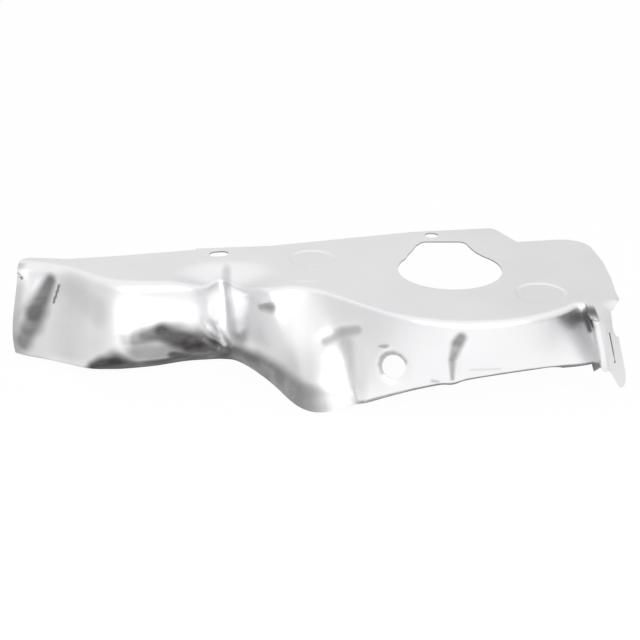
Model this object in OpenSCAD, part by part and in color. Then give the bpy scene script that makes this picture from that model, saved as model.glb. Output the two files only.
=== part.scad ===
// Exhaust heat shield: one pressed sheet with a flat panel on top, a deep skirt
// along the front and a slotted fixing tab at the right end.
// The panel lies flat, X runs along the shield, Y to its back edge, Z up.
// The origin is the centre of the rear bolt hole on the panel's upper face.

/* [Sheet] */
// Thickness of the sheet
sheet_t = 1; // [0.8:0.1:1.4]
// Radius of the bend between the panel and the skirt
bend_r = 5; // [4:0.5:7]

/* [Panel outline] */
// Reach of the shield to the left of the rear bolt hole
left_reach = 299; // [285:1:315]
// Reach of the panel to the right of the rear bolt hole
panel_right = 118; // [116:1:122]
// Radius of the rear right corner
corner_r = 20; // [8:1:28]
// Distance from the rear bolt hole to the back edge beside it
back_edge = 11; // [9:1:16]

/* [Sensor opening] */
// Sideways place of the opening's centre
opening_x = 8; // [4:1:12]
// Distance of the opening's centre in front of the rear bolt hole
opening_y = 68; // [66:1:72]
// Radius of the round part of the opening
opening_r = 36.5; // [30:0.5:38]
// Width of the opening's rear lobe behind its flared sides
lobe_w = 35; // [30:1:38]
// Distance of the rear edge of the lobe from the opening's centre
lobe_reach = 55; // [48:1:56]

/* [Fixing holes] */
// Diameter of the rear bolt hole
bolt_d = 10; // [8:0.5:11]
// Distance of the rear slot to the left of the bolt hole
slot_x = 156; // [150:1:162]
// Distance of the rear slot in front of the bolt hole
slot_y = 38; // [36:1:42]
// Width of the rear slot
slot_w = 10; // [7:0.5:11]
// Overall length of the rear slot
slot_len = 14; // [12:0.5:18]
// Diameter of the hole in the skirt
skirt_hole_d = 16; // [12:0.5:18]
// Sideways place of the hole in the skirt
skirt_hole_x = -35; // [-40:1:-30]
// Depth of the skirt hole's centre below the panel
skirt_hole_z = 33; // [28:1:34]

/* [Round embosses] */
// Depth of the round embosses
emboss_h = 0.6; // [0.3:0.1:0.8]
// Radius of the left emboss
emboss_left_r = 17; // [12:1:20]
// Radius of the right emboss
emboss_right_r = 18; // [12:1:20]

/* [Front skirt] */
// Radius of the curved front of the panel
front_r = 100; // [96:1:104]
// Height of the skirt at the middle of the curved front
skirt_h = 37; // [32:1:42]
// Outward flare of the skirt at the middle of the curved front
skirt_flare = 9; // [6:1:14]
// Outward bow of the skirt at the left end
left_bow = 9; // [4:1:11]

/* [Tab] */
// Angle of the tab's face, turned from facing right towards the front
tab_turn = 30; // [26:1:33]
// Angle by which the tab splays outwards from upright
tab_splay = 16; // [12:1:20]
// Length of the tab below the panel
tab_len = 53; // [48:1:58]
// Width of the tab
tab_w = 28; // [24:1:30]
// Radius of the tab's tip
tab_tip_r = 8; // [6:1:11]
// Width of the slot in the tab
tab_slot_w = 3; // [2.5:0.5:5]
// Overall length of the slot in the tab
tab_slot_len = 22; // [14:1:26]

/* [Hidden] */
eps = 0.01;
steps = 4;
wall_steps = 10;
arc_steps = 4;
far_back = 32;
panel_rows = [24, 14, 6];

// Left of plain_x the places follow the shield's reach
plain_x = -176;
left_drawn = 123;
left_share = (left_reach + plain_x) / left_drawn;

// Centre of the curved front
front_x = 14;
front_y = -56;

// The skirt hole's place and the direction of its axis follow the skirt there
skirt_hole_y = front_y - front_r - 1;
skirt_hole_lean = 16;
skirt_hole_turn = 19;

// The tab hangs from the line through tab_corner, along tab_along
tab_corner = [112, -131, 0];
tab_along = [sin(tab_turn), cos(tab_turn), 0];
tab_out = [cos(tab_turn), -sin(tab_turn), 0];
tab_down = sin(tab_splay) * tab_out - [0, 0, cos(tab_splay)];
tab_rear = -4.5;
tab_front = tab_rear - tab_w;
tab_skirt = tab_len + 5;
tab_shoulder = 35;
waist_r = 9;
waist_drop = 12;
flange_r = 2.5;
flange_set = 4;
flange_len = 27;
flange_turn = 150;
tab_root = 7;
tab_slot_up = 30;
emboss_flank = 2.5;
emboss_left = [-89, -47];
emboss_right = [66, -110];

function left_x(x) = x < plain_x ? plain_x + (x - plain_x) * left_share : x;

// Each station across the sheet holds the start of the bend on the panel, the lower
// edge of the skirt, the radius of the bend and the bow of the skirt:
// [bend x, bend y, edge x, edge y, edge z, bend radius, bow]
left_stations = [
    [-297, -51, -299, -82, -58, bend_r + 3, left_bow],
    [-288, -51, -290, -87, -58, bend_r + 3, left_bow],
    [-276, -54, -277, -94, -57, bend_r + 2, left_bow],
    [-260, -61, -259, -104, -56, bend_r + 1, 6],
    [-240, -76, -242, -111, -57, bend_r + 1, 5],
    [-222, -86, -225, -111, -57, bend_r + 2, 7],
    [-198, -88, -200, -104, -58, bend_r + 2, 9],
    [-176, -88, -178, -96, -58, bend_r + 1, 9],
    [-164, -81, -162, -91, -59, bend_r, 8],
    [-153, -69, -152, -88, -60, bend_r, 5],
    [-141, -78, -142, -89, -61, bend_r, 6],
    [-129, -92, -130, -99, -63, bend_r + 1, 8],
    [-117, -100, -116, -121, -63, bend_r + 1, 7],
    [-105, -97, -101, -148, -64, bend_r + 1, 5],
    [-93, -99, -90, -158, -65, bend_r + 1, 4],
    [-82, -105, -79, -161, -64, bend_r + 1, 3],
    [-71, -114, -68, -160, -61, bend_r + 1, 0]
];

// Along the curved front: [angle of the bend, forward and sideways reach of the edge, extra height]
front_table = [
    [226, 32, 2, 21],
    [237, 22, 3, 15],
    [248, 14, 2, 10],
    [259, 9, 0, 6],
    [264, 9, 0, 5],
    [270, 9, -1, 1.5],
    [281, 7, 1, -0.5],
    [292, 7, 3, -1],
    [303, 9, 5, 0],
    [309, 14, 12, 4],
    [315, 20, 18, 8]
];

function front_station(v) =
    let (x = front_x + front_r * cos(v[0]),
         y = front_y + front_r * sin(v[0]))
    [x, y, x + v[2], y - v[1] + 9 - skirt_flare, -skirt_h - v[3], bend_r, 1];

front_stations = [for (v = front_table) front_station(v)];

function tab_station(along, down, r) =
    let (corner = tab_corner + along * tab_along,
         bend = corner - r * tan((90 - tab_splay) / 2) * tab_out,
         edge = corner + down * tab_down)
    [bend.x, bend.y, edge.x, edge.y, edge.z, r, 0];

// Behind the tab the bend runs out into the flat panel
tab_runout = tab_corner + 9 * tab_along - 10 * tab_out;
tab_runout_edge = tab_runout + 24 * tab_out;
tab_rear_station = [tab_runout.x, tab_runout.y, tab_runout_edge.x, tab_runout_edge.y, -0.6, 400, 0];

tab_stations = [
    tab_station(tab_front + flange_set, tab_skirt, 5),
    tab_station(tab_front + 9, tab_skirt, 8),
    tab_station(tab_front + 14, tab_skirt, 10),
    tab_station(tab_front + 21, tab_skirt, 12),
    tab_station(tab_rear + 0.7, tab_skirt, 14),
    tab_rear_station
];

// How far the flat root of the tab reaches into the panel from the bend
function root_of(s) = min(s[5] / 2, tab_root);

// The skirt runs on to the right, to be cut off along its right end
end_stations = [
    [90, -126.5, 110, -146, -46, bend_r + 1, 1],
    [96, -127, 118, -145, -46, bend_r + 1, 1]
];

stations = concat(
    [for (s = left_stations) [left_x(s[0]), s[1], left_x(s[2]), s[3], s[4], s[5], s[6]]],
    front_stations,
    end_stations
);

// Soft dents of the skirt, seen from the front:
// [x, z, half length, half width, turn, depth]
dents = [
    [-279, -26, 32, 11, 65, -9],
    [-237, -42, 34, 20, 80, -2],
    [-166, -40, 26, 7, -40, -3],
    [-150, -30, 30, 6, 84, -4],
    [-119, -12, 8, 6, 10, -2],
    [-69, -20, 22, 6, 24, -3],
    [-62, -46, 26, 9, 88, -5],
    [7, -13, 10, 5, 66, -2.5],
    [3, -26, 14, 6, 87, -2.5]
];

// A shallow dish in the panel behind the notch of the bend
dish = [-153, -58, 34, 15, 2.5];

function unit(v) = v / norm(v);

function catmull(a, b, c, d, t) =
    b + t * ((c - a) / 2 + t * (a - 2.5 * b + 2 * c - d / 2 + t * (3 * (b - c) + d - a) / 2));

function bump(r) = r < 1 ? pow(1 - r * r, 2) : 0;

// How far a dent pushes the skirt at x and z
function dent_at(d, x, z) =
    let (from = x - left_x(d[0]),
         u = from * cos(d[4]) + (z - d[1]) * sin(d[4]),
         v = -from * sin(d[4]) + (z - d[1]) * cos(d[4]))
    d[5] * bump(norm([u / d[2], v / d[3]]));

function total(v, i = 0) = i < len(v) ? v[i] + total(v, i + 1) : 0;

function pushed(p, out) =
    p + out * total([for (d = dents) dent_at(d, p.x, p.z)]);

function panel_point(x, y) =
    [x, y, -dish[4] * bump(norm([(x - dish[0]) / dish[2], (y - dish[1]) / dish[3]]))];

// The skirt's line of points at one station, from the start of the bend to the lower edge
function skirt_line(s, wall_n) =
    let (bend = [s[0], s[1], 0],
         edge = [s[2], s[3], s[4]],
         flat = [edge.x - bend.x, edge.y - bend.y, 0],
         out = unit(flat),
         reach = norm(flat),
         drop = -edge.z,
         r = s[5],
         away = norm([reach, drop - r]),
         turn = atan2(reach, r - drop) - acos(r / away),
         start = bend + r * sin(turn) * out + [0, 0, r * (cos(turn) - 1)],
         side = sin(turn) * out + [0, 0, cos(turn)])
    concat(
        [panel_point(bend.x, bend.y)],
        [for (i = [1 : arc_steps - 1])
            let (a = turn * i / arc_steps)
            bend + r * sin(a) * out + [0, 0, r * (cos(a) - 1)]],
        [for (i = [0 : wall_n])
            let (t = i / wall_n,
                 p = start + t * (edge - start) + s[6] * 6.75 * t * t * (1 - t) * side)
            pushed(p, out)]
    );

// A full line of points across the sheet, from behind the back edge to the lower edge
function section(s) =
    concat(
        [[s[0], far_back, 0]],
        [for (back = panel_rows) panel_point(s[0], s[1] + back)],
        skirt_line(s, wall_steps)
    );

// A line of points across the tab, from its flat root on the panel to its lower end
function tab_section(s) =
    concat([[s[0], s[1], 0] - root_of(s) * tab_out], skirt_line(s, 1));

last = len(stations) - 1;
sheet_grid = [
    for (i = [0 : last - 1], k = [0 : steps - 1])
        section(catmull(stations[max(i - 1, 0)], stations[i], stations[i + 1],
                        stations[min(i + 2, last)], k / steps)),
    section(stations[last])
];
tab_grid = [for (s = tab_stations) tab_section(s)];

// The sheet's outward direction at one point of a grid; the first flat_rows lie flat
function normal_at(grid, i, j, flat_rows) =
    j < flat_rows ? [0, 0, 1] :
    let (du = grid[min(i + 1, len(grid) - 1)][j] - grid[max(i - 1, 0)][j],
         dv = grid[i][min(j + 1, len(grid[0]) - 1)] - grid[i][j - 1])
    unit(cross(dv, du));

// A solid sheet of the given thickness under a grid of points
module sheet_under(grid, flat_rows) {
    columns = len(grid);
    rows = len(grid[0]);
    count = columns * rows;
    outer = [for (line = grid) each line];
    inner = [for (i = [0 : columns - 1], j = [0 : rows - 1])
        grid[i][j] - sheet_t * normal_at(grid, i, j, flat_rows)];
    function at(i, j) = i * rows + j;
    function quad(a, b, c, d) = [[a, b, c], [a, c, d]];
    function ring(i, j, k, l) = quad(at(i, j), count + at(i, j), count + at(k, l), at(k, l));
    faces = [
        for (i = [0 : columns - 2], j = [0 : rows - 2])
            each quad(at(i, j), at(i + 1, j), at(i + 1, j + 1), at(i, j + 1)),
        for (i = [0 : columns - 2], j = [0 : rows - 2])
            each quad(count + at(i, j), count + at(i, j + 1), count + at(i + 1, j + 1), count + at(i + 1, j)),
        for (i = [0 : columns - 2]) each ring(i, 0, i + 1, 0),
        for (i = [0 : columns - 2]) each ring(i + 1, rows - 1, i, rows - 1),
        for (j = [0 : rows - 2]) each ring(0, j + 1, 0, j),
        for (j = [0 : rows - 2]) each ring(columns - 1, j, columns - 1, j + 1)
    ];
    polyhedron(concat(outer, inner), faces);
}

function arc(cx, cy, r, from, to, n) =
    [for (i = [0 : n]) let (a = from + (to - from) * i / n) [cx + r * cos(a), cy + r * sin(a)]];

// Everything behind the back edge and to the right of the panel's end
module trim_outside() {
    rise = back_edge - 4;
    translate([0, 0, -90])
    linear_extrude(100)
    polygon([for (p = concat(
        [[-320, -62], [-297.5, -58]],
        arc(-289, -54, 8.5, 190, 95, 6),
        [[-262, -48], [-223, -41], [-174, -30], [-173, -27.5], [-119, -22], [-15, rise], [45, rise + 8]],
        [[48.5, rise + 6], [62, -14]],
        [[panel_right - corner_r - 4, -9]],
        arc(panel_right - corner_r - 3, -9 - corner_r, corner_r, 80, 12, 8),
        [[panel_right, -14 - 2 * corner_r]],
        [[panel_right, -87], [panel_right - 1.5, -112], [panel_right - 1, -119]],
        [[panel_right - 2.5, -123], [111, -131]],
        [[tab_corner.x + tab_rear * tab_along.x + 60 * tab_out.x, tab_corner.y + 60 * tab_out.y]],
        [[200, 60], [-320, 60]]
    )) [left_x(p.x), p.y]]);
}

module lobed_opening() {
    side = lobe_w / 2;
    translate([opening_x, -opening_y, -6])
    linear_extrude(12) {
        circle(opening_r, $fn = 96);
        translate([-1, 0])
        polygon(concat(
            [[20, 0], [side + 14.5, 19], [side + 9.5, 25.5], [side + 5.3, 33], [side + 2.3, 41]],
            arc(side - 6, lobe_reach - 6, 6, 15, 90, 4),
            arc(6 - side, lobe_reach - 6, 6, 90, 160, 4),
            [[-side - 2.4, 46.6], [-side - 6, 36.3], [-side - 9.4, 28.2], [-side - 12.5, 18], [-20, 0]]
        ));
    }
}

// A round-ended slot along X, cut right through
module slot(length, width, depth) {
    half = (length - width) / 2;
    for (side = [-half, half])
        translate([side, 0, 0])
        cylinder(h = depth, d = width, center = true, $fn = 48);
    cube([2 * half, width, depth], center = true);
}

// Moves to a point on the tab's face, with X along it, Y up it and Z out of it
module on_tab(along, down) {
    across = cos(tab_splay) * tab_out + [0, 0, sin(tab_splay)];
    p = tab_corner + along * tab_along + down * tab_down;
    multmatrix([
        [tab_along.x, -tab_down.x, across.x, p.x],
        [tab_along.y, -tab_down.y, across.y, p.y],
        [tab_along.z, -tab_down.z, across.z, p.z],
        [0, 0, 0, 1]
    ])
    children();
}

// Everything outside the rounded outline of the tab, from a little below its bend
module trim_tab() {
    on_tab(tab_rear, 0)
    translate([0, 0, -20])
    linear_extrude(40)
    polygon(concat(
        [[0, -20]],
        [[0, tab_tip_r - tab_len]],
        arc(-tab_tip_r, tab_tip_r - tab_len, tab_tip_r, 0, -130, 10),
        [[flange_set - tab_w + 1, -tab_shoulder - sheet_t]],
        [[-tab_w - 12, -tab_shoulder - sheet_t]],
        [[-tab_w - 12, -80], [40, -80], [40, -20]]
    ));
    on_tab(-2, waist_drop)
    cylinder(h = 24, r = waist_r, center = true, $fn = 48);
}

// What is cut off the front skirt at its right end, seen from the front
module trim_skirt_end() {
    translate([0, -100, 0])
    rotate([90, 0, 0])
    linear_extrude(100)
    polygon([
        [93.5, 10], [93.5, 0], [103.2, -36], [103.7, -39], [98.5, -41.5], [97, -36.6], [72, -38.2],
        [72, -70], [140, -70], [140, 10]
    ]);
}

// A point of the tab's cross-section, carried up into the plane of the panel
function flange_point(x, z) =
    let (along = tab_front + flange_set + x, out = z / cos(tab_splay))
    [tab_corner.x + along * tab_along.x + out * tab_out.x,
     tab_corner.y + along * tab_along.y + out * tab_out.y];

// The curve of the flange at a distance below the tab's face
function flange_arc(from, to, under) =
    let (r = flange_r - under)
    arc(0, -flange_r, r, from, to, 6);

// The far end of the flange at a distance below its face
function flange_end(under) =
    let (r = flange_r - under)
    [[r * cos(90 + flange_turn) - flange_len * sin(90 + flange_turn),
      -flange_r + r * sin(90 + flange_turn) + flange_len * cos(90 + flange_turn)]];

// The flat right end of the panel, up to the bend of the tab and the top of its flange
module right_panel() {
    inside = concat(flange_end(sheet_t / 2), flange_arc(90 + flange_turn, 100, sheet_t / 2));
    translate([0, 0, -sheet_t])
    linear_extrude(sheet_t)
    polygon(concat(
        [[70, far_back], [70, -120], [86, -124]],
        [for (p = inside) flange_point(p.x, p.y)],
        [for (s = tab_stations) [s.x, s.y] - root_of(s) / 2 * [tab_out.x, tab_out.y]],
        [[tab_runout_edge.x - 0.2, tab_runout_edge.y - 0.3]],
        [[panel_right + 8, -108], [panel_right + 8, far_back]]
    ));
}

// The flange that runs from the tab's front edge back to the end of the skirt
module tab_flange() {
    intersection() {
        on_tab(tab_front + flange_set, 0)
        translate([0, 14, 0])
        rotate([90, 0, 0])
        linear_extrude(tab_shoulder + 14)
        polygon(concat(
            [[0.6, 0]],
            flange_arc(90, 90 + flange_turn, 0),
            flange_end(0),
            flange_end(sheet_t),
            flange_arc(90 + flange_turn, 90, sheet_t),
            [[0.6, -sheet_t]]
        ));
        translate([60, -200, -60.5])
        cube([80, 100, 60]);
    }
}

// A round emboss sunk into the panel: its hollow on top, or its metal below
module emboss(x, y, r, hollow) {
    translate([x, y, (hollow ? 0 : -sheet_t) - emboss_h])
    cylinder(h = emboss_h + eps, r1 = r - emboss_flank, r2 = r, $fn = 72);
}

module embosses(hollow) {
    emboss(emboss_left.x, emboss_left.y, emboss_left_r, hollow);
    emboss(emboss_right.x, emboss_right.y, emboss_right_r, hollow);
}

module heat_shield() {
    color([0.84, 0.84, 0.85])
    difference() {
        union() {
            difference() {
                sheet_under(sheet_grid, len(panel_rows) + 2);
                trim_skirt_end();
            }
            sheet_under(tab_grid, 2);
            right_panel();
            tab_flange();
            embosses(false);
        }
        embosses(true);
        trim_outside();
        trim_tab();
        lobed_opening();
        cylinder(h = 10, d = bolt_d, center = true, $fn = 64);
        translate([-slot_x, -slot_y, 0])
        rotate([0, 0, 13])
        slot(slot_len, slot_w, 10);
        translate([skirt_hole_x, skirt_hole_y, -skirt_hole_z])
        rotate([90 - skirt_hole_lean, 0, -skirt_hole_turn])
        cylinder(h = 24, d = skirt_hole_d, center = true, $fn = 64);
        on_tab(tab_rear - tab_w / 2, tab_len - tab_slot_up)
        rotate([0, 0, 90])
        slot(tab_slot_len, tab_slot_w, 20);
    }
}

heat_shield();
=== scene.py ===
# %% [markdown]
# # Exhaust heat shield
# A heat shield is one thin aluminium sheet, pressed between dies: a flat panel on top, a deep
# skirt that follows the curved front, and a slotted tab at the right end. This file dresses the
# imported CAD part. It sets up the camera and a plain studio, makes the sheet again with a mesh
# that is fine enough for its dents and wrinkles, and gives it a satin metal finish.

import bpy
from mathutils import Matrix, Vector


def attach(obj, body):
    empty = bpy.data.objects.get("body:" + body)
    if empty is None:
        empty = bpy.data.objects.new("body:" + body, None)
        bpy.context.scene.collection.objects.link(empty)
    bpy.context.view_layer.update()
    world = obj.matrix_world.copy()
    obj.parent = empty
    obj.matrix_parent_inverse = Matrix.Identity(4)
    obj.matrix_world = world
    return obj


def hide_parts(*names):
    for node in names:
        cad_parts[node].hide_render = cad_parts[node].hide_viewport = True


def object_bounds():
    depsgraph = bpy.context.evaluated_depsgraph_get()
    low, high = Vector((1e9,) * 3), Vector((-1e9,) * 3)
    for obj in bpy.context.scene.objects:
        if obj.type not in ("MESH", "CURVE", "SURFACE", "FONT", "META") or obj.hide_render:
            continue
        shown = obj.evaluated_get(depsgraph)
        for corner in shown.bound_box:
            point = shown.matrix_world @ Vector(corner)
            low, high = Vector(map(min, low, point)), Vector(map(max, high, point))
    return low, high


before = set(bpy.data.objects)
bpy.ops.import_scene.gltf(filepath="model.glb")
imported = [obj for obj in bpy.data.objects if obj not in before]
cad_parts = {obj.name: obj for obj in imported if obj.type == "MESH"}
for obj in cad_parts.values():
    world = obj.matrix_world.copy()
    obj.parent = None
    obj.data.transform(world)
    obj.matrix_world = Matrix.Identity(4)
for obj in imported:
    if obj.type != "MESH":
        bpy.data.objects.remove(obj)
cad_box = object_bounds()
print("nodes", sorted(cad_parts), "box", cad_box)

# %% [markdown]
# ## Modules and units
# Blender works in metres. A part like this is drawn in millimetres, so every length below is
# in millimetres and is multiplied by MM where it reaches Blender.

# %% Modules and units
import math

import bmesh
import bpy
from mathutils import Matrix, Vector, noise

MM = 0.001
scene = bpy.context.scene
scene.view_settings.view_transform = "Standard"
print("lengths below are millimetres, times", MM)

# %% [markdown]
# ## Camera
# The photograph was taken with a long lens, from in front and about 24 degrees above. The
# camera is placed by that angle and by how far the rear bolt hole, which is the origin, lies
# from it. A long lens keeps the far edge of the panel nearly as wide as the near one.

# %% Camera
VIEW_ELEVATION = 24
CAMERA_PLACE = (-83.1, -994.0, 373.4)


def add_camera(place, elevation, lens=80):
    data = bpy.data.cameras.new("camera")
    data.lens = lens
    camera = bpy.data.objects.new("camera", data)
    scene.collection.objects.link(camera)
    camera.location = Vector(place) * MM
    camera.rotation_euler = (math.radians(90 - elevation), 0, 0)
    scene.camera = camera
    return camera


print("camera at", tuple(round(x, 3) for x in add_camera(CAMERA_PLACE, VIEW_ELEVATION).location))

# %% [markdown]
# ## Shader expressions
# Node trees are easier to read as arithmetic. A Field wraps one output of a node, and its
# operators add Math nodes, so that a mask can be written as `1 - edge * noise`. Every other
# node comes from one method, which sets the node's own options first and its sockets after.


# %% Shader expressions
class Field:
    """One output of a shader node, on which arithmetic adds Math nodes."""

    def __init__(self, finish, socket):
        self.finish = finish
        self.socket = socket

    def math(self, operation, *values, clamp=False):
        options = {"operation": operation, "use_clamp": clamp}
        return self.finish.node("ShaderNodeMath", options, dict(enumerate((self, *values))))

    def __add__(self, other):
        return self.math("ADD", other)

    def __sub__(self, other):
        return self.math("SUBTRACT", other)

    def __mul__(self, other):
        return self.math("MULTIPLY", other)

    def __truediv__(self, other):
        return self.math("DIVIDE", other)

    def __rsub__(self, other):
        return self.math("MULTIPLY_ADD", -1.0, other)

    __radd__ = __add__

    def clamped(self):
        return self.math("ADD", 0.0, clamp=True)

    def step(self, low, high):
        """A smooth step from 0 at low to 1 at high."""
        options = {"interpolation_type": "SMOOTHSTEP"}
        return self.finish.node(
            "ShaderNodeMapRange", options, {"Value": self, "From Min": low, "From Max": high}
        )


class Finish:
    """A node tree, of a new material unless one is given."""

    def __init__(self, name, tree=None):
        if tree is None:
            self.material = bpy.data.materials.new(name)
            self.material.use_nodes = True
            tree = self.material.node_tree
        self.tree = tree
        tree.nodes.clear()

    def node(self, kind, options=None, sockets=None, output=0):
        made = self.tree.nodes.new(kind)
        for key, value in (options or {}).items():
            setattr(made, key, value)
        for key, value in (sockets or {}).items():
            socket = made.inputs[key]
            if isinstance(value, Field):
                self.tree.links.new(value.socket, socket)
            else:
                socket.default_value = value
        return Field(self, made.outputs[output])

    def ends_in(self, shader):
        end = self.tree.nodes.new("ShaderNodeOutputMaterial")
        self.tree.links.new(shader.socket, end.inputs["Surface"])
        return self.material


print("shader maths ready")

# %% [markdown]
# ## Studio
# Bare metal shows little but what it mirrors, so the studio is part of the finish. The room
# and the floor are white to the eye, and a little darker as lights, so that the metal doesn't
# wash out.

# %% Floor and world
FLOOR_SIZE = 12000
FLOOR_GLOW = 0.95
ROOM_LIGHT = 0.8
WHITE = (1, 1, 1, 1)
MATTE = (0.9, 0.9, 0.9, 1)
floor_z = cad_box[0][2]


def flat_piece(name, size, material):
    bm = bmesh.new()
    bmesh.ops.create_grid(bm, x_segments=1, y_segments=1, size=0.5)
    bmesh.ops.scale(bm, verts=bm.verts, vec=(size[0] * MM, size[1] * MM, 1))
    mesh = bpy.data.meshes.new(name)
    bm.to_mesh(mesh)
    bm.free()
    mesh.materials.append(material)
    piece = bpy.data.objects.new(name, mesh)
    scene.collection.objects.link(piece)
    return piece


def background_rays(finish):
    """1 for rays from the camera or off gloss and glass, which see the plain background."""
    camera, glossy, through = [
        finish.node("ShaderNodeLightPath", output=name)
        for name in ("Is Camera Ray", "Is Glossy Ray", "Is Transmission Ray")
    ]
    return (camera + glossy + through).clamped()


def floor_white():
    finish = Finish("floor white")
    matte = finish.node("ShaderNodeBsdfDiffuse", None, {"Color": MATTE})
    glow = finish.node("ShaderNodeEmission", None, {"Color": WHITE, "Strength": 1.0})
    share = background_rays(finish) * FLOOR_GLOW
    return finish.ends_in(finish.node("ShaderNodeMixShader", None, {0: share, 1: matte, 2: glow}))


def add_world(level):
    """A white room: full white to the eye and to gloss, and level as a light."""
    world = bpy.data.worlds.new("white room")
    scene.world = world
    world.use_nodes = True
    finish = Finish("world", world.node_tree)
    strength = level + background_rays(finish) * (1 - level)
    sky = finish.node("ShaderNodeBackground", None, {"Color": WHITE, "Strength": strength})
    end = finish.tree.nodes.new("ShaderNodeOutputWorld")
    finish.tree.links.new(sky.socket, end.inputs["Surface"])


floor = flat_piece("floor", (FLOOR_SIZE, FLOOR_SIZE), floor_white())
floor.location.z = floor_z
add_world(ROOM_LIGHT)
print("floor at", round(floor_z / MM, 1), "mm")

# %% [markdown]
# ## Boards and lights
# A softbox lights the front. Bright boards give the curved skirt its glare, and a grey board
# keeps the faces that turn to the right a shade darker. Photographers place boards like these
# just outside the picture. Here only reflections see them.

# %% Boards and lights
LOW_BOARD_LIFT = 0.4


def aim(thing, place, target):
    thing.location = Vector(place) * MM
    thing.rotation_euler = (thing.location - Vector(target) * MM).to_track_quat("Z", "Y").to_euler()


def add_board(name, size, level):
    """A glowing board that only reflections see."""
    finish = Finish(name)
    glow = finish.node("ShaderNodeEmission", None, {"Color": WHITE, "Strength": level})
    board = flat_piece(name, size, finish.ends_in(glow))
    for kind in ("camera", "diffuse", "shadow", "transmission"):
        setattr(board, "visible_" + kind, False)
    return board


def add_softbox(name, place, size, power, target=(-80, -80, -20)):
    data = bpy.data.lights.new(name, "AREA")
    data.shape = "RECTANGLE"
    data.size = size[0] * MM
    data.size_y = size[1] * MM
    data.energy = power
    light = bpy.data.objects.new(name, data)
    scene.collection.objects.link(light)
    aim(light, place, target)
    return light


add_softbox("front softbox", place=(150, -1500, 1100), size=(1800, 1000), power=16)
front = add_board("front board", size=(6000, 620), level=1.33)
aim(front, place=(300, -2400, 250), target=(300, 0, 250))
overhead = add_board("overhead board", size=(6000, 6400), level=1.3)
aim(overhead, place=(300, 300, 2500), target=(300, 300, 0))
low = add_board("low board", size=(720, 2380), level=1.36)
low.location = (75 * MM, -1200 * MM, floor_z + LOW_BOARD_LIFT * MM)
grey = add_board("grey board", size=(4000, 6000), level=0.86)
aim(grey, place=(2650, 5000, 2400), target=(2650, 0, 2400))
print("one softbox and four boards")

# %% [markdown]
# ## The sheet's sizes
# These repeat the part's own driving sizes, with a softer bend at the worn left end. A station
# is one cut across the sheet: where the bend starts on the panel, where the skirt's lower edge
# lies, the radius of the bend and how far the skirt bows out between them. Smooth curves
# through the stations give the surface.

# %% Stations
SHEET = 1.0
BEND_R = 5.0
FRONT_CENTRE = (14, -56)
FRONT_R = 100
FRONT_DROP = 37

# [bend x, bend y, edge x, edge y, edge z, bend radius, bow]
LEFT_STATIONS = [
    [-297, -51, -299, -82, -58, 10, 9],
    [-288, -51, -290, -87, -58, 11, 9],
    [-276, -54, -277, -94, -57, 12, 9],
    [-260, -61, -259, -104, -56, 12, 6],
    [-240, -76, -242, -111, -57, 11, 5],
    [-222, -86, -225, -111, -57, 9, 7],
    [-198, -88, -200, -104, -58, 8, 9],
    [-176, -88, -178, -96, -58, 6, 9],
    [-164, -81, -162, -91, -59, 5, 8],
    [-153, -69, -152, -88, -60, 5, 7.5],
    [-141, -78, -142, -89, -61, 5, 8],
    [-129, -92, -130, -99, -63, 6, 8],
    [-117, -100, -116, -121, -63, 6, 7],
    [-105, -97, -101, -148, -64, 6, 5],
    [-93, -99, -90, -158, -65, 6, 4],
    [-82, -105, -79, -161, -64, 6, 3],
    [-71, -114, -68, -160, -61, 6, 0],
]
# [angle of the bend, forward and sideways reach of the edge, extra height]
FRONT_TABLE = [
    [226, 32, 2, 21],
    [237, 22, 3, 15],
    [248, 14, 2, 10],
    [259, 9, 0, 6],
    [264, 9, 0, 5],
    [270, 9, -1, 1.5],
    [281, 7, 1, -0.5],
    [292, 7, 3, -1],
    [303, 9, 5, 0],
    [309, 14, 12, 4],
    [315, 20, 18, 8],
]
END_STATIONS = [[90, -126.5, 110, -146, -46, 6, 1], [96, -127, 118, -145, -46, 6, 1]]


def front_station(angle, forward, sideways, extra):
    x = FRONT_CENTRE[0] + FRONT_R * math.cos(math.radians(angle))
    y = FRONT_CENTRE[1] + FRONT_R * math.sin(math.radians(angle))
    return [x, y, x + sideways, y - forward, -FRONT_DROP - extra, BEND_R, 1]


STATIONS = LEFT_STATIONS + [front_station(*row) for row in FRONT_TABLE] + END_STATIONS
print(len(STATIONS), "stations from x", STATIONS[0][0], "to", STATIONS[-1][0])

# %% [markdown]
# ## Dents and wrinkles
# The shield has been used and its metal is soft, so its skirt is full of marks. A dent is a
# smooth hollow. A fold is a line where two flat flanks meet, with a width of its own on each
# side, which is how thin sheet buckles. Both say how far the sheet moves along its outward
# direction at a place on the skirt, seen from the front.

# %% Dents and folds
# [x, z, half length, half width, turn in degrees, depth]
DENTS = [
    [-237, -42, 34, 20, 80, -2],
    [-119, -12, 7, 4, 10, -2.4],
    [-62, -46, 26, 12, 88, -2],
    [-40.5, -22, 4, 2.5, 20, 0.8],
    [-35, -33, 13.5, 13.5, 0, -1.6],
]
# [x and z of each end, width on the left, width on the right, depth]
FOLDS = [
    [-268, -8, -288, -48, 14, 20, -5],
    [-266, -11, -270, -21, 1.2, 1.6, -0.7],
    [-164, -25, -147, -47, 3.5, 3, -1.7],
    [-168, -31, -149, -53, 3.5, 3, -1.4],
    [-149, -1, -143, -44, 8, 9, -1.1],
    [-86, -28, -52, -12, 6, 6, -2.6],
    [10, -6, 3, -19, 5, 5, -1.8],
    [4, -16, 2, -40, 5, 6, -1.2],
]
# The panel's own hollows: [x, y, half length, half width, turn, depth]
PANEL_DENTS = [
    [-148, -82, 42, 31, 0, -7.5],
    [-92, -87.5, 19, 3, 5, 0.5],
]
WAVE_LENGTH = 16
WAVE_HEIGHT = 0.12
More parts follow.
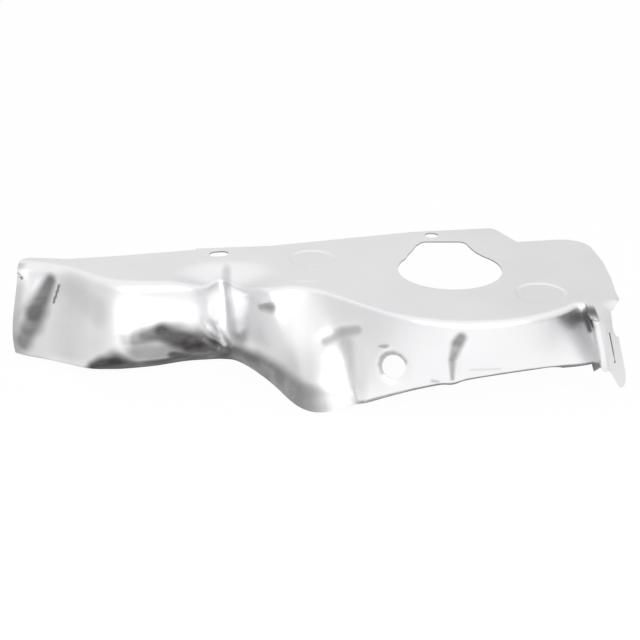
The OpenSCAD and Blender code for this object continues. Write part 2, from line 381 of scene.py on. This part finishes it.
# a fold has faded out this far from its middle, in half lengths
FOLD_FADE = 1.25


def bump(r):
    """1 at 0, falling smoothly to 0 at 1."""
    return (1 - r * r) ** 2 if r < 1 else 0


def smooth(t):
    """Rises smoothly from 0 at 0 to 1 at 1."""
    return t * t * (3 - 2 * t)


def dent_at(dent, x, z):
    cx, cz, length, width, turn, depth = dent
    c, s = math.cos(math.radians(turn)), math.sin(math.radians(turn))
    along = (x - cx) * c + (z - cz) * s
    across = -(x - cx) * s + (z - cz) * c
    return depth * bump(math.hypot(along / length, across / width))


def fold_at(fold, x, z):
    x0, z0, x1, z1, left, right, depth = fold
    length = math.hypot(x1 - x0, z1 - z0)
    ux, uz = (x1 - x0) / length, (z1 - z0) / length
    along = ((x - x0) * ux + (z - z0) * uz) / length * 2 - 1
    across = (x - x0) * uz - (z - z0) * ux
    width = left if across > 0 else right
    flank = max(0, 1 - abs(across) / width)
    # half of a straight flank and half of a smooth one, so the line stays a soft crease
    rounded = (smooth(flank) + flank) / 2
    return depth * rounded * bump(min(1, abs(along) / FOLD_FADE))


def skirt_push(x, z):
    waves = WAVE_HEIGHT * noise.noise((x / WAVE_LENGTH, z / WAVE_LENGTH, 0))
    dents = sum(dent_at(dent, x, z) for dent in DENTS)
    return waves + dents + sum(fold_at(fold, x, z) for fold in FOLDS)


def panel_height(x, y):
    return sum(dent_at(d, x, y) for d in PANEL_DENTS)


print(len(DENTS) + len(PANEL_DENTS), "dents and", len(FOLDS), "folds")

# %% [markdown]
# ## From stations to a surface
# A grid is the simplest mesh to bend into a sheet: its columns become cuts across the shield
# and its rows run along it, from behind the back edge, over the bend and down the skirt. The
# vertices of one grid are moved to their places, and modifiers add the thickness and cut the
# outline and the holes.

# %% Section of the sheet
COLUMNS_PER_STATION = 14
FAR_BACK = 32
PANEL_ROWS = [60, 42, 34, 28, 24, 20, 17, 14, 11.5, 9, 7, 5, 3.5, 2, 1]
ARC_ROWS = 12
WALL_ROWS = 46
# the rows over which the panel's own hollows fade out down the skirt
FADE_ROWS = ARC_ROWS + 14
# t * t * (1 - t) is one over this at its highest
BOW_SCALE = 27 / 4


def blended(stations, place):
    """The station at a place between two of them, on a smooth curve through all."""
    i = min(int(place), len(stations) - 2)
    t = place - i
    a = stations[max(i - 1, 0)]
    b = stations[i]
    c = stations[i + 1]
    d = stations[min(i + 2, len(stations) - 1)]
    return [
        q + t * ((r - p) / 2 + t * (p - 2.5 * q + 2 * r - s / 2 + t * (3 * (q - r) + s - p) / 2))
        for p, q, r, s in zip(a, b, c, d)
    ]


def skirt_line(station, arc_rows, wall_rows, marked=True):
    """Points down one cut, from the start of the bend to the lower edge."""
    bx, by, ex, ey, ez, r, bow = station
    reach = math.hypot(ex - bx, ey - by)
    out = Vector(((ex - bx) / reach, (ey - by) / reach, 0))
    bend = Vector((bx, by, 0))
    edge = Vector((ex, ey, ez))
    away = math.hypot(reach, -ez - r)
    turn = math.atan2(reach, r + ez) - math.acos(r / away)

    def on_arc(share):
        a = turn * share
        return bend + r * math.sin(a) * out + Vector((0, 0, r * (math.cos(a) - 1)))

    start = on_arc(1)
    side = math.sin(turn) * out + Vector((0, 0, math.cos(turn)))
    line = [(on_arc(i / arc_rows), i / arc_rows) for i in range(arc_rows)]
    for i in range(wall_rows + 1):
        t = i / wall_rows
        line.append((start.lerp(edge, t) + bow * BOW_SCALE * t * t * (1 - t) * side, 1))
    if not marked:
        return [p for p, share in line]
    return [p + out * share * skirt_push(p.x, p.z) for p, share in line]


def section(station):
    """Points of one whole cut, from behind the back edge to the lower edge of the skirt."""
    x, y = station[:2]
    panel = [Vector((x, FAR_BACK, 0))]
    panel += [Vector((x, y + back, panel_height(x, y + back))) for back in PANEL_ROWS]
    skirt = skirt_line(station, ARC_ROWS, WALL_ROWS)
    for i, p in enumerate(skirt[:FADE_ROWS]):
        p.z += panel_height(x, y) * bump(i / FADE_ROWS)
    return panel + skirt


print("a cut has", len(section(STATIONS[0])), "points")

# %% [markdown]
# ## Sheet from a grid
# Each column of the grid is laid on one cut. The thickness is a modifier, so that it stays
# one number, and the sheet's upper face keeps its place.

# %% Sheet from a grid


def object_of(bm, name):
    mesh = bpy.data.meshes.new(name)
    bm.to_mesh(mesh)
    bm.free()
    made = bpy.data.objects.new(name, mesh)
    scene.collection.objects.link(made)
    return made


def bent_grid(name, lines):
    """A grid whose columns lie on the given lines of points."""
    columns, rows = len(lines) - 1, len(lines[0]) - 1
    bm = bmesh.new()
    bmesh.ops.create_grid(bm, x_segments=columns, y_segments=rows, size=0.5)
    for v in bm.verts:
        column = round((v.co.x + 0.5) * columns)
        row = round((0.5 - v.co.y) * rows)
        v.co = lines[column][row] * MM
    return object_of(bm, name)


def thicken(sheet):
    wall = sheet.modifiers.new("sheet thickness", "SOLIDIFY")
    wall.thickness = SHEET * MM
    wall.offset = -1
    return sheet


last_column = (len(STATIONS) - 1) * COLUMNS_PER_STATION
places = [i / COLUMNS_PER_STATION for i in range(last_column + 1)]
cuts = [section(blended(STATIONS, place)) for place in places]
sheet = thicken(bent_grid("heat_shield_sheet", cuts))
print("sheet grid of", len(sheet.data.vertices), "vertices")

# %% [markdown]
# ## Outline, opening and holes
# On the real part a press blanks these in one stroke. Here each is a prism or a cylinder that
# a Boolean modifier takes away, so that every hole keeps a clean, square wall of the sheet's
# own thickness.


# %% Cutters
def arc(cx, cy, r, start, end, steps):
    angles = [math.radians(start + (end - start) * i / steps) for i in range(steps + 1)]
    return [(cx + r * math.cos(a), cy + r * math.sin(a)) for a in angles]


def prism(name, outline, low, high, place=Matrix.Identity(4)):
    """A closed prism over an outline in the XY plane, moved by place, all in millimetres."""
    bm = bmesh.new()
    bottom = bm.faces.new([bm.verts.new((x, y, low)) for x, y in outline])
    top = bmesh.ops.extrude_face_region(bm, geom=[bottom])
    lifted = [g for g in top["geom"] if isinstance(g, bmesh.types.BMVert)]
    bmesh.ops.translate(bm, verts=lifted, vec=(0, 0, high - low))
    bmesh.ops.transform(bm, matrix=Matrix.Scale(MM, 4) @ place, verts=bm.verts)
    bmesh.ops.recalc_face_normals(bm, faces=bm.faces)
    return object_of(bm, name)


def drum(name, diameter, depth, place, segments=96, low_diameter=None):
    bm = bmesh.new()
    bmesh.ops.create_cone(
        bm,
        cap_ends=True,
        segments=segments,
        radius1=(low_diameter or diameter) / 2,
        radius2=diameter / 2,
        depth=depth,
    )
    bmesh.ops.transform(bm, matrix=Matrix.Scale(MM, 4) @ place, verts=bm.verts)
    return object_of(bm, name)


def shifted(x, y, z):
    return Matrix.Translation((x, y, z))


def turned(degrees, axis):
    return Matrix.Rotation(math.radians(degrees), 4, axis)


def combine(piece, other, operation):
    """Adds or takes away another closed mesh, which is hidden from then on."""
    step = piece.modifiers.new(other.name, "BOOLEAN")
    step.operation = operation
    step.solver = "MANIFOLD"
    step.object = other
    other.hide_render = True


print("cutter helpers ready")

# %% [markdown]
# ## Outline of the panel
# The cutter is everything outside the panel: it follows the panel's edge from the left end
# along the back to the tab's corner, and closes far behind the sheet.

# %% Outline of the panel
PANEL_RIGHT = 118
CORNER_R = 20
REAR_RISE = 7
TAB_TURN = 30
TAB_SPLAY = 16
TAB_CORNER = Vector((112, -131, 0))
TAB_ALONG = Vector((math.sin(math.radians(TAB_TURN)), math.cos(math.radians(TAB_TURN)), 0))
TAB_OUT = Vector((math.cos(math.radians(TAB_TURN)), -math.sin(math.radians(TAB_TURN)), 0))
TAB_DOWN = TAB_OUT * math.sin(math.radians(TAB_SPLAY)) - Vector(
    (0, 0, math.cos(math.radians(TAB_SPLAY)))
)
TAB_REAR = -4.5
TAB_W = 28
TAB_FRONT = TAB_REAR - TAB_W
TAB_LEN = 53
TAB_TIP_R = 8
TAB_SHOULDER = 35

outside = (
    [(-320, -62), (-297.5, -58)]
    + arc(-289, -54, 8.5, 190, 95, 14)
    + [(-262, -48), (-223, -41), (-174, -30), (-173, -27.5), (-119, -22)]
    + [(-15, REAR_RISE), (45, REAR_RISE + 8), (48.5, REAR_RISE + 6), (62, -14)]
    + [(PANEL_RIGHT - CORNER_R - 4, -9)]
    + arc(PANEL_RIGHT - CORNER_R - 3, -9 - CORNER_R, CORNER_R, 80, 12, 24)
    + [(PANEL_RIGHT, -14 - 2 * CORNER_R), (PANEL_RIGHT, -87), (PANEL_RIGHT - 1.5, -112)]
    + [(PANEL_RIGHT - 1, -119), (PANEL_RIGHT - 2.5, -123), (111, -131)]
    + [(TAB_CORNER.x + TAB_REAR * TAB_ALONG.x + 60 * TAB_OUT.x, TAB_CORNER.y + 60 * TAB_OUT.y)]
    + [(200, 60), (-320, 60)]
)
print("the outline has", len(outside), "points")

# %% [markdown]
# ## Tab and its flange
# The tab hangs from the panel's right end and carries a slit for a bolt. Its bend opens from
# a tight radius at the front to a wide one at the rear. A flange turns back from its front
# edge to the end of the skirt and closes the corner, which makes the tab stiff.

# %% Tab
FLANGE_R = 2.5
FLANGE_SET = 4
FLANGE_LEN = 27
FLANGE_TURN = 150


def tab_station(along, down, r):
    corner = TAB_CORNER + along * TAB_ALONG
    bend = corner - r * math.tan(math.radians(45 - TAB_SPLAY / 2)) * TAB_OUT
    edge = corner + down * TAB_DOWN
    return [bend.x, bend.y, edge.x, edge.y, edge.z, r, 0]


def root_of(station):
    return min(station[5] / 2, 7)


def tab_line(station):
    root = Vector((station[0], station[1], 0)) - TAB_OUT * root_of(station)
    return [root] + skirt_line(station, 12, 4, marked=False)


# behind the tab its bend runs out into the flat panel
runout = TAB_CORNER + 9 * TAB_ALONG - 10 * TAB_OUT
runout_edge = runout + 24 * TAB_OUT
TAB_STATIONS = [
    tab_station(TAB_FRONT + FLANGE_SET, TAB_LEN + 5, 5),
    tab_station(TAB_FRONT + 9, TAB_LEN + 5, 8),
    tab_station(TAB_FRONT + 14, TAB_LEN + 5, 10),
    tab_station(TAB_FRONT + 21, TAB_LEN + 5, 12),
    tab_station(TAB_REAR + 0.7, TAB_LEN + 5, 14),
    [runout.x, runout.y, runout_edge.x, runout_edge.y, -0.6, 400, 0],
]


def between(stations, place, line):
    """The line of points at a place between two stations, straight across."""
    i = min(int(place), len(stations) - 2)
    return [a.lerp(b, place - i) for a, b in zip(line(stations[i]), line(stations[i + 1]))]


tab_places = [i / 6 for i in range((len(TAB_STATIONS) - 1) * 6 + 1)]
tab = thicken(bent_grid("tab", [between(TAB_STATIONS, p, tab_line) for p in tab_places]))


def on_tab(along, down, out=0):
    """Places things on the tab's face, with X along it, Y up it and Z out of it."""
    across = TAB_OUT * math.cos(math.radians(TAB_SPLAY)) + Vector(
        (0, 0, math.sin(math.radians(TAB_SPLAY)))
    )
    p = TAB_CORNER + along * TAB_ALONG + down * TAB_DOWN + out * across
    columns = [TAB_ALONG, -TAB_DOWN, across, p]
    rows = [[c[i] for c in columns] for i in range(3)]
    return Matrix(rows + [[0, 0, 0, 1]])


def flange_arc(start, end, under):
    return arc(0, -FLANGE_R, FLANGE_R - under, start, end, 12)


def flange_end(under):
    r = FLANGE_R - under
    a = math.radians(90 + FLANGE_TURN)
    x = r * math.cos(a) - FLANGE_LEN * math.sin(a)
    return (x, -FLANGE_R + r * math.sin(a) + FLANGE_LEN * math.cos(a))


flange_outline = (
    [(0.6, 0)]
    + flange_arc(90, 90 + FLANGE_TURN, 0)
    + [flange_end(0), flange_end(SHEET)]
    + flange_arc(90 + FLANGE_TURN, 90, SHEET)
    + [(0.6, -SHEET)]
)
upright = on_tab(TAB_FRONT + FLANGE_SET, 0) @ turned(90, "X")
flange = prism("flange", flange_outline, -14, TAB_SHOULDER, upright)
ABOVE_FLANGE = [(60, -200), (140, -200), (140, -90), (60, -90)]
combine(flange, prism("flange top", ABOVE_FLANGE, -0.5, 30), "DIFFERENCE")
print("tab and flange made")

# %% [markdown]
# ## Right end of the panel
# The stations stop short of the tab, so a flat plate fills the corner. Its edge follows the
# middle of the flange and the root of the tab, where the three are joined.

# %% Right end of the panel


def flange_point(x, z):
    """A point of the tab's cut, carried up into the plane of the panel."""
    p = TAB_CORNER + (TAB_FRONT + FLANGE_SET + x) * TAB_ALONG
    p += z / math.cos(math.radians(TAB_SPLAY)) * TAB_OUT
    return (p.x, p.y)


inner_line = [flange_end(SHEET / 2)] + flange_arc(90 + FLANGE_TURN, 100, SHEET / 2)
tab_root = [
    (s[0] - root_of(s) / 2 * TAB_OUT.x, s[1] - root_of(s) / 2 * TAB_OUT.y)
    for s in TAB_STATIONS
]
right_outline = (
    [(70, FAR_BACK), (70, -120), (86, -124)]
    + [flange_point(*p) for p in inner_line]
    + tab_root
    + [(runout_edge.x - 0.2, runout_edge.y - 0.3)]
    + [(PANEL_RIGHT + 8, -108), (PANEL_RIGHT + 8, FAR_BACK)]
)
right_panel = prism("right panel", right_outline, -SHEET, 0)
print("right end of", len(right_outline), "points")

# %% [markdown]
# ## Join and cut
# The skirt's right end is trimmed and the pieces of sheet are joined. Then the embosses are
# pressed, the outline is trimmed, and the opening and the holes come last. Each hole is cut
# square to the metal it goes through.

# %% Join and cut
# the skirt's right end seen from the front, as x and z
SKIRT_END = [
    (93.5, 10),
    (93.5, 0),
    (103.2, -36),
    (103.7, -39),
    (98.5, -41.5),
    (97, -36.6),
    (72, -38.2),
    (72, -70),
    (140, -70),
    (140, 10),
]
# the tear in the left end, seen from the front
TEAR = [(-303, -3.4), (-303, -7.2), (-293.5, -9)]
OPENING = (8, -68)
OPENING_R = 36.5
LOBE_W = 35
LOBE_REACH = 55
LOBE_CORNER = 6
# [x, y, radius]
EMBOSSES = [(-89, -47, 17), (66, -110, 18)]
EMBOSS_H = 0.6
EMBOSS_FLANK = 2.5
# the dishes stand this far off the sheet's own faces, so that no two faces coincide
OVERLAP = 0.02
BOLT_HOLE = 10
REAR_SLOT = (-156, -38)
REAR_SLOT_SIZE = (14, 10)
REAR_SLOT_TURN = 13
# x and z on the skirt
SKIRT_HOLE = (-35, -33)
SKIRT_HOLE_Y = -157
SKIRT_HOLE_D = 16
SKIRT_HOLE_TURN = -19
SKIRT_HOLE_LEAN = 16
TAB_SLIT_SIZE = (22, 3)
TAB_SLIT_UP = 30
WAIST = 18

from_front = turned(90, "X")
combine(sheet, prism("skirt end", SKIRT_END, 60, 200, from_front), "DIFFERENCE")
for other in (right_panel, tab, flange):
    combine(sheet, other, "UNION")


def dish(name, x, y, r, top):
    """A shallow drum with a sloping flank, whose upper face lies at height top."""
    depth = EMBOSS_H + OVERLAP
    place = shifted(x, y, top + OVERLAP - depth / 2)
    return drum(name, 2 * r, depth, place, 128, 2 * (r - EMBOSS_FLANK))


for i, emboss in enumerate(EMBOSSES):
    combine(sheet, dish(f"emboss {i}", *emboss, -SHEET), "UNION")
    combine(sheet, dish(f"emboss hollow {i}", *emboss, 0), "DIFFERENCE")
combine(sheet, prism("outside", outside, -90, 10), "DIFFERENCE")
combine(sheet, prism("tear", TEAR, 45, 95, from_front), "DIFFERENCE")

tab_outline = (
    [(0, -20), (0, TAB_TIP_R - TAB_LEN)]
    + arc(-TAB_TIP_R, TAB_TIP_R - TAB_LEN, TAB_TIP_R, 0, -130, 20)
    + [(FLANGE_SET - TAB_W + 1, -TAB_SHOULDER - SHEET), (-TAB_W - 12, -TAB_SHOULDER - SHEET)]
    + [(-TAB_W - 12, -80), (40, -80), (40, -20)]
)
combine(sheet, prism("tab outline", tab_outline, -20, 20, on_tab(TAB_REAR, 0)), "DIFFERENCE")
combine(sheet, drum("waist", WAIST, 24, on_tab(-2, 12)), "DIFFERENCE")

lobe_side = LOBE_W / 2
rear_lobe = (
    [(20, 0), (lobe_side + 14.5, 19), (lobe_side + 9.5, 25.5), (lobe_side + 5.3, 33)]
    + [(lobe_side + 2.3, 41)]
    + arc(lobe_side - LOBE_CORNER, LOBE_REACH - LOBE_CORNER, LOBE_CORNER, 15, 90, 10)
    + arc(LOBE_CORNER - lobe_side, LOBE_REACH - LOBE_CORNER, LOBE_CORNER, 90, 160, 10)
    + [(-lobe_side - 2.4, 46.6), (-lobe_side - 6, 36.3), (-lobe_side - 9.4, 28.2)]
    + [(-lobe_side - 12.5, 18), (-20, 0)]
)
combine(sheet, drum("opening", 2 * OPENING_R, 12, shifted(*OPENING, 0), 192), "DIFFERENCE")
lobe_place = shifted(OPENING[0] - 1, OPENING[1], 0)
combine(sheet, prism("opening lobe", rear_lobe, -6, 6, lobe_place), "DIFFERENCE")
combine(sheet, drum("rear bolt hole", BOLT_HOLE, 10, shifted(0, 0, 0)), "DIFFERENCE")


def slot_outline(length, width):
    half = (length - width) / 2
    return arc(half, 0, width / 2, -90, 90, 24) + arc(-half, 0, width / 2, 90, 270, 24)


rear_slot = shifted(*REAR_SLOT, 0) @ turned(REAR_SLOT_TURN, "Z")
rear_slot_outline = slot_outline(*REAR_SLOT_SIZE)
combine(sheet, prism("rear slot", rear_slot_outline, -6, 6, rear_slot), "DIFFERENCE")
skirt_hole = shifted(SKIRT_HOLE[0], SKIRT_HOLE_Y, SKIRT_HOLE[1])
skirt_hole @= turned(SKIRT_HOLE_TURN, "Z") @ turned(90 - SKIRT_HOLE_LEAN, "X")
combine(sheet, drum("skirt hole", SKIRT_HOLE_D, 24, skirt_hole), "DIFFERENCE")
slit = on_tab(TAB_REAR - TAB_W / 2, TAB_LEN - TAB_SLIT_UP) @ turned(90, "Z")
combine(sheet, prism("tab slit", slot_outline(*TAB_SLIT_SIZE), -10, 10, slit), "DIFFERENCE")
print(len(sheet.modifiers), "steps on the sheet")

# %% [markdown]
# ## Settle the mesh
# The modifiers have done their work, so their result becomes the mesh. Faces are shaded
# smooth, apart from sharp bends, the cut edges and the rings of the shallow embosses, which
# would vanish under smooth shading.

# %% Settle the mesh
SHARP_ANGLE = 35
RING_NEAR = 0.3
RING_DEEPEST = -2


def settle(piece):
    """Replaces a piece's mesh with the result of its modifiers, and removes what it used."""
    used = [m.object for m in piece.modifiers if m.type == "BOOLEAN"]
    graph = bpy.context.evaluated_depsgraph_get()
    mesh = bpy.data.meshes.new_from_object(piece.evaluated_get(graph))
    piece.modifiers.clear()
    piece.data = mesh
    mesh.name = piece.name
    for other in used:
        bpy.data.objects.remove(other)
    return mesh


settle(flange)
settle(tab)
mesh = settle(sheet)
for polygon in mesh.polygons:
    polygon.use_smooth = True
mesh.set_sharp_from_angle(angle=math.radians(SHARP_ANGLE))
sharp = mesh.attributes["sharp_edge"].data
for edge, flag in zip(mesh.edges, sharp):
    ends = [mesh.vertices[i].co / MM for i in edge.vertices]
    for x, y, r in EMBOSSES:
        reaches = [math.hypot(p.x - x, p.y - y) for p in ends]
        off = [min(abs(reach - ring) for ring in (r, r - EMBOSS_FLANK)) for reach in reaches]
        if max(off) < RING_NEAR and min(p.z for p in ends) > RING_DEEPEST:
            flag.value = True
triangles = sum(len(p.vertices) - 2 for p in mesh.polygons)
print("sheet of", triangles, "triangles")

# %% [markdown]
# ## Painted shade and dark reflections
# The shade and dark reflections in the dents, the creases and under the skirt are painted as a
# dark tone, with a few small dark marks among them. A stroke is a soft line with a width at each
# end, and a band of painted shade follows the lower edge of the skirt. The darkest counts most at
# each vertex, and the finish reads it as an attribute.

# %% Painted shade strokes
# [x and z of each end, radius at each end, strength]
# strokes of painted shade and dark reflection in the dents and creases, and a few small dark marks
SHADE_STROKES = [
    [-273, -9, -284, -29, 4, 8.5, 0.86],
    [-282, -27, -288, -38, 8.5, 7.5, 0.76],
    [-285, -32, -292, -48, 8, 6, 0.66],
    [-290, -28, -296, -48, 6, 7, 0.42],
    [-298, -2, -298, -52, 5, 8, 0.4],
    [-266.5, -11, -270, -21, 0.8, 0.8, 0.97],
    [-258, -12, -238, -20, 9, 9, 0.2],
    [-256, -24, -250, -48, 13, 16, 0.17],
    [-240, -56, -224, -51, 5, 8, 0.96],
    [-224, -51, -212, -54, 8, 6, 0.94],
    [-209, -34, -196, -32, 6, 7.5, 0.74],
    [-203, -33, -192, -31, 6.5, 8, 0.87],
    [-192, -31, -172, -42, 8, 11, 0.95],
    [-172, -42, -150, -52, 11, 9, 0.96],
    [-184, -50, -165, -56, 6, 7, 0.93],
    [-208, -44, -188, -46, 9, 9, 0.62],
    [-216, -34, -206, -33, 5, 7, 0.5],
    [-92, -44, -72, -52, 14, 13, 0.24],
    [-66, -26, -64, -58, 5, 5, 0.3],
    [-298, -6, -294, -9.4, 0.7, 1, 0.85],
    [14, -31, 34, -32, 0.8, 0.8, 0.16],
    [-149, -4, -143, -43, 3, 3.6, 0.3],
    [-123, -13, -117, -11.7, 2.4, 3.4, 0.58],
    [-80, -26, -68, -20, 2.4, 3.6, 0.42],
    [-68, -20, -58, -15.5, 3.6, 2.4, 0.38],
    [8, -10, 5.5, -14, 3.4, 3.8, 0.68],
    [5.5, -14, 2.5, -25, 3.8, 2.4, 0.62],
    [2.5, -25, 3, -38, 2.4, 1.3, 0.52],
    [-44, -21.6, -39, -20.6, 0.7, 1.1, 0.5],
    [-59, -57, -61, -50, 1.2, 1, 0.4],
    [-10, -40, -6, -40.5, 1.2, 1, 0.35],
    [92.5, -6, 96, -16, 2.6, 2, 0.92],
]
# painted shade on the rim of the skirt's hole, from its right over the top to its left
RIM_R = 8.6
RIM = [arc(*SKIRT_HOLE, RIM_R, turn, turn, 1)[0] for turn in range(30, 211, 30)]
SHADE_STROKES += [[*a, *b, 1.6, 1.6, 0.5] for a, b in zip(RIM, RIM[1:])]
# [x, reach of the band of painted shade above the lower edge, strength]
BAND = [
    [-300, 1, 0.35],
    [-248, 1, 0.35],
    [-240, 3, 0.9],
    [-222, 7, 0.95],
    [-165, 8, 0.95],
    [-150, 8, 0.95],
    [-143, 16, 0.9],
    [-125, 20, 0.88],
    [-104, 19, 0.76],
    [-84, 16, 0.58],
    [-72, 12, 0.45],
    [-64, 7, 0.4],
    [-60, 3, 0.5],
    [-54, 1.3, 0.8],
    [98, 1.3, 0.8],
    [103, 1, 0.5],
]
# [x, z] along the skirt's lower edge
LOWER_EDGE = [[s[2], s[4]] for s in STATIONS if s[2] < 60]
LOWER_EDGE += [[72, -37.2], [97, -36.6], [104, -38]]
# strokes wider than WAVY have a wavy rim, that comes and goes over WARP_X and WARP_Z
WAVY = 4.5
WARP = 1.6
WARP_X = 12
WARP_Z = 7
# ridges between the pinched creases, where the painted shade is lifted so that they look lit
RIDGES = [
    [-161, -32, -150, -47, 1.2, 1.8, 0.6],
    [-164, -40, -154, -50, 0.8, 1.2, 0.3],
]
# the higher this is, the less do strokes of painted shade that overlap add up
SHADE_POWER = 9
# a stroke fades out from FADE_FROM to FADE_TO of its own radius
FADE_FROM, FADE_TO = 0.3, 1.6


def stroke_at(stroke, x, z):
    x0, z0, x1, z1, r0, r1, strength = stroke
    ux, uz = x1 - x0, z1 - z0
    t = min(1, max(0, ((x - x0) * ux + (z - z0) * uz) / (ux * ux + uz * uz)))
    away = math.hypot(x - x0 - t * ux, z - z0 - t * uz) / (r0 + t * (r1 - r0))
    fade = (FADE_TO - away) / (FADE_TO - FADE_FROM)
    return strength * smooth(min(1, max(0, fade)))


def row_at(rows, x):
    """The values of a table at x, whose rows start with their own x."""
    for a, b in zip(rows, rows[1:]):
        if a[0] <= x <= b[0]:
            t = (x - a[0]) / (b[0] - a[0])
            return [p + t * (q - p) for p, q in zip(a[1:], b[1:])]
    return [0] * (len(rows[0]) - 1)


# painted shade and dark reflection along the lower edge, reaching highest under the undercut at the
# left
def band_at(x, z):
    reach, strength = row_at(BAND, x)
    height = z - row_at(LOWER_EDGE, x)[0]
    fade = min(1, max(0, (1.3 * reach - height) / (0.6 * reach))) if reach else 0
    return strength * smooth(fade)


def shade_and_marks_at(x, z):
    warped_x = x + WARP * noise.noise((x / WARP_X, z / WARP_Z, 3))
    warped_z = z + WARP * noise.noise((x / WARP_X, z / WARP_Z, 8))
    marks = [stroke_at(s, warped_x, warped_z) for s in SHADE_STROKES if s[4] >= WAVY]
    marks += [stroke_at(s, x, z) for s in SHADE_STROKES if s[4] < WAVY]
    marks.append(band_at(x, z))
    shade_and_marks = sum(mark**SHADE_POWER for mark in marks) ** (1 / SHADE_POWER)
    return min(1, shade_and_marks) * (1 - max(stroke_at(r, x, z) for r in RIDGES))


# the painted shade and the small dark marks, at each vertex of the skirt
shade_and_marks = mesh.attributes.new("shade_and_marks", "FLOAT", "POINT")
for v, value in zip(mesh.vertices, shade_and_marks.data):
    x, _, z = v.co / MM
    if v.normal.y < 0.2 and z < -SHEET / 2:
        value.value = shade_and_marks_at(x, z)
# painted shade on the narrow cut faces of the holes and the outline
cut_edge = mesh.attributes.new("cut edge", "FLOAT", "FACE")
for polygon, value in zip(mesh.polygons, cut_edge.data):
    level = polygon.center.z / MM
    value.value = float(abs(polygon.normal.z) < 0.2 and -0.99 < level < -0.01)
print(len(SHADE_STROKES), "smears and a band along the edge")

# %% [markdown]
# ## Satin aluminium
# Rolled aluminium is a metal of even, pale grey. Its gloss is soft, a little streaky along
# the direction of rolling, and duller where it was handled. The colour stays nearly even, and
# the roughness and a very fine bump carry the grain. Noise in streaks breaks up the painted shade.

# %% Aluminium
DARK_METAL = (0.675, 0.675, 0.685, 1)
LIGHT_METAL = (0.695, 0.695, 0.703, 1)
# the colour of the painted shade and of the few small dark marks
SHADE_AND_MARK_COLOUR = (0.042, 0.038, 0.04, 1)
# middle of the pocket behind the skirt's right end, and how far its painted shade reaches
POCKET_Y, POCKET_Z = -142, -4.5
POCKET_BACK, POCKET_DOWN = 15, 6.5
POCKET_TONE = 0.96
# painted shade on the narrow cut faces of the holes and the outline
CUT_EDGE_TONE = 0.6
# painted shade on the tab, which turns away from the light
TAB_SHADE = 0.14


def aluminium():
    finish = Finish("satin aluminium")
    where = finish.node("ShaderNodeTexCoord", output="Object")
    axes = [finish.node("ShaderNodeSeparateXYZ", None, {0: where}, output=i) for i in range(3)]

    def mottle(scale, detail=3.0, stretch=(1, 1, 1), turn=0):
        sockets = {"Vector": where, "Scale": stretch, "Rotation": (0, math.radians(turn), 0)}
        at = finish.node("ShaderNodeMapping", None, sockets)
        sockets = {"Vector": at, "Scale": scale, "Detail": detail}
        return finish.node("ShaderNodeTexNoise", None, sockets)

    cloud = mottle(14)
    grain = mottle(260, 4.0, (0.12, 1, 1))
    speck = mottle(900, 2.0)
    streak = mottle(90, 5.0, (0.25, 1, 1), 35)
    # painted shade and marks from the vertices, broken up by streaks
    painted = finish.node("ShaderNodeAttribute", {"attribute_name": "shade_and_marks"}, output="Fac")
    shade_and_marks = painted * (0.88 + streak.step(0.3, 0.62) * 0.12)
    # painted shade in the pocket behind the end of the skirt, on its own narrow faces
    down = (axes[2] - POCKET_Z * MM) / (POCKET_DOWN * MM)
    back = (axes[1] - POCKET_Y * MM) / (POCKET_BACK * MM)
    inside = axes[0].step(0.0905, 0.092) * (1 - axes[0].step(0.0968, 0.0985))
    pocket = (1 - (down * down + back * back).step(0.3, 1.2)) * inside * POCKET_TONE
    shade_and_marks = shade_and_marks.math("MAXIMUM", pocket)
    # painted shade on the narrow cut faces, read from their attribute
    cut_edge = finish.node("ShaderNodeAttribute", {"attribute_name": "cut edge"}, output="Fac")
    # painted shade on the tab, which turns away from the light
    tab_shade = axes[0].step(0.1, 0.104) * (1 - axes[2].step(-0.01, -0.001)) * TAB_SHADE
    shade_and_marks = shade_and_marks.math("MAXIMUM", tab_shade).math("MAXIMUM", cut_edge * CUT_EDGE_TONE)
    tones = {"Factor": cloud.step(0.3, 0.7), 6: DARK_METAL, 7: LIGHT_METAL}
    metal = finish.node("ShaderNodeMix", {"data_type": "RGBA"}, tones, output=2)
    tones = {"Factor": shade_and_marks, 6: metal, 7: SHADE_AND_MARK_COLOUR}
    colour = finish.node("ShaderNodeMix", {"data_type": "RGBA"}, tones, output=2)
    rough = 0.3 + cloud * 0.1 + grain * 0.06 + shade_and_marks * 0.1
    relief = {"Strength": 0.12, "Distance": 0.0004, "Height": grain + speck * 0.5}
    bump_at = finish.node("ShaderNodeBump", None, relief)
    sockets = {"Base Color": colour, "Metallic": 1.0, "Roughness": rough, "Normal": bump_at}
    return finish.ends_in(finish.node("ShaderNodeBsdfPrincipled", None, sockets))


mesh.materials.clear()
mesh.materials.append(aluminium())
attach(sheet, "root")
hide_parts("heat_shield")
print("finish on", sheet.name)

# %% [markdown]
# ## End

# %% End
print("scene done")
